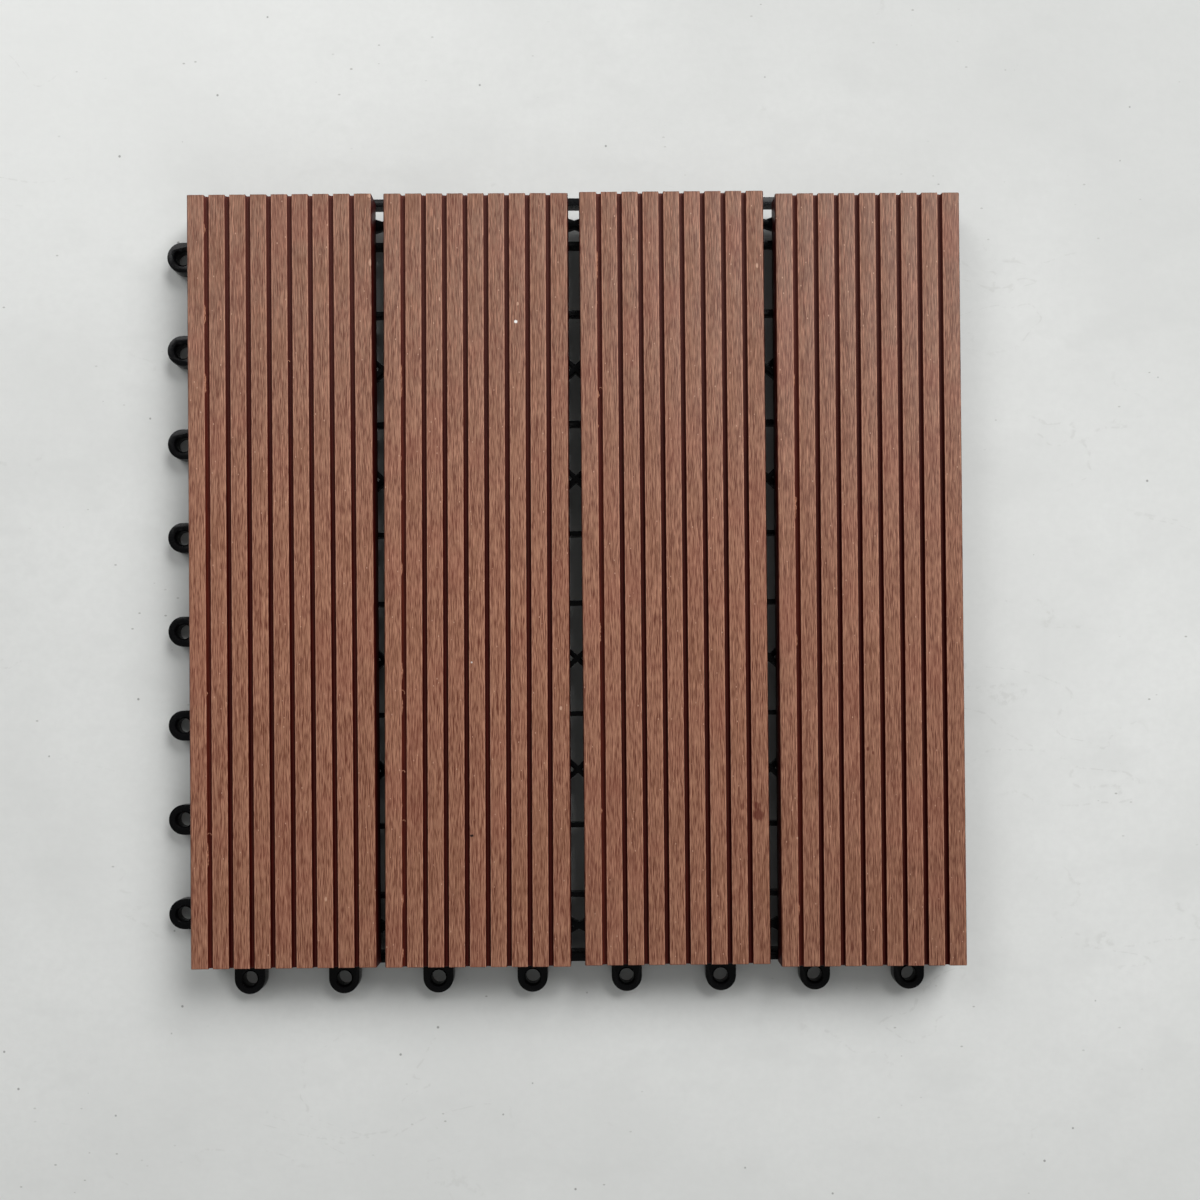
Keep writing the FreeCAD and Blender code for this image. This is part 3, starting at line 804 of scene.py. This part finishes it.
def floor_finish():
    """Pale sheet with faint clouds, tiny specks and scuffs."""
    skin = Finish("pale_floor")
    across, along, _ = skin.parts(skin.place())
    cloud = skin.noise(skin.vector(across * 0.012, along * 0.012, 0.0), 4.0, 0.6)
    fine = skin.noise(skin.vector(across * 0.3, along * 0.3, 0.0), 3.0, 0.6)
    dry = skin.noise(skin.vector(across * 0.03, along * 0.05, 4.0), 3.0, 0.6)
    spots = skin.grains(skin.vector(across * 0.06, along * 0.06, 0.0))
    pits = skin.grains(skin.vector(across * 0.11, along * 0.19, 9.0))
    worn = skin.noise(skin.vector(across * 0.02, along * 0.02, 15.0), 2.0, 0.5)
    wrinkle = skin.noise(skin.vector(across * 0.016, along * 0.03, 21.0), 2.0, 0.5, 0.6)
    rubbed = skin.noise(skin.vector(across * 0.012, along * 0.012, 33.0), 2.0, 0.5)
    colour = skin.blend(cloud.rise(0.3, 0.7), tone(220, 221, 219), tone(227, 228, 226))
    colour = skin.blend(dry.rise(0.5, 0.7) * 0.3, colour, tone(212, 213, 211))
    colour = skin.blend(fine.rise(0.3, 0.7) * 0.25, colour, tone(214, 215, 213))
    # Painted shade: the floor turns darker towards its far right corner
    corner = (across * 0.6 + along * 0.8).rise(120, 330)
    colour = skin.blend(corner * 0.5, colour, tone(190, 191, 189))
    # Painted shade: the floor turns darker towards its near side
    near_shade = along.rise(-160.0, -240.0)
    colour = skin.blend(near_shade * 0.3, colour, tone(204, 205, 203))
    # Painted light: the floor turns brighter towards its far left
    far_left_light = (along * 0.8 - across * 0.6).rise(150, 330)
    colour = skin.blend(far_left_light * 0.5, colour, tone(236, 237, 235))
    colour = skin.blend(spots.rise(0.04, 0.02) * 0.65, colour, tone(104, 104, 100))
    spatter = pits.rise(0.08, 0.04) * worn.rise(0.5, 0.62) * 0.6
    colour = skin.blend(spatter, colour, tone(140, 138, 132))
    scuff = abs(wrinkle - 0.5).rise(0.01, 0.002) * rubbed.rise(0.54, 0.62)
    colour = skin.blend(scuff * fine.rise(0.45, 0.6) * 0.18, colour, tone(176, 175, 170))
    normal = skin.bump(fine * 0.5 + dry, 0.3, 0.3)
    return skin.close(Base_Color=colour, Roughness=0.7, Normal=normal)


bpy.ops.object.select_all(action="DESELECT")
bpy.ops.mesh.primitive_plane_add(size=FLOOR_WIDTH, location=(0, 0, 0))
floor = bpy.context.active_object
floor.name = "floor"
floor.data.materials.append(floor_finish())
print("floor:", floor.name)

# %% [markdown]
# The photograph was taken in soft daylight that comes from behind the tile, a little more
# from the right than from the left: two big lamps there, and a pale even sky for the rest.
# A weak lamp in front lifts the shadow that the tile throws towards the camera's foot.
# Little light comes from straight overhead, so the gaps between the boards stay dark.

# %% Light
# Each lamp: its place and width in metres, and its power in watts
LAMPS = {
    "window": ((1.3, 1.8, 1.9), 1.7, 79),
    "second_window": ((-1.5, 1.6, 1.9), 1.2, 20),
    "fill": ((0.3, -2.2, 1.3), 1.8, 5),
}
SKY_COLOUR = (0.98, 1.0, 0.99, 1.0)
SKY_STRENGTH = 0.22


def add_lamp(name, place, size, power):
    """A square lamp that points at the middle of the tile."""
    lamp = bpy.data.lights.new(name, "AREA")
    lamp.shape = "SQUARE"
    lamp.size = size
    lamp.energy = power
    holder = bpy.data.objects.new(name, lamp)
    bpy.context.scene.collection.objects.link(holder)
    holder.location = place
    holder.rotation_euler = (-Vector(place)).to_track_quat("-Z", "Y").to_euler()


for name, (place, size, power) in LAMPS.items():
    add_lamp(name, place, size, power)

world = bpy.data.worlds.new("pale_sky")
bpy.context.scene.world = world
world.use_nodes = True
sky = world.node_tree.nodes["Background"]
sky.inputs["Color"].default_value = SKY_COLOUR
sky.inputs["Strength"].default_value = SKY_STRENGTH
print("lamps:", ", ".join(LAMPS), "and", world.name)

# %% [markdown]
# The camera looks straight down from just under half a metre. Its place, its small lean and
# its turn come from matching board edges, eyelets and ribs in the photograph, where the
# middle of the lens lies a little below the middle of the frame.

# %% Camera
SENSOR_WIDTH = 36.0
FOCAL_SHARE = 1201 / 1200
LENS_SHIFT = 80 / 1200
CAMERA_PLACE = (0.0130, -0.0396, 0.4864)
CAMERA_DEGREES = (0.709, -0.179, -0.424)
camera_data = bpy.data.cameras.new("camera")
camera_data.sensor_width = SENSOR_WIDTH
camera_data.lens = SENSOR_WIDTH * FOCAL_SHARE
camera_data.shift_y = LENS_SHIFT
camera_data.clip_start = 0.01
camera = bpy.data.objects.new("camera", camera_data)
bpy.context.scene.collection.objects.link(camera)
camera.location = CAMERA_PLACE
camera.rotation_euler = [math.radians(angle) for angle in CAMERA_DEGREES]
bpy.context.scene.camera = camera
bpy.context.scene.view_settings.view_transform = "Standard"
print("camera height", round(camera.location.z, 3), "m")
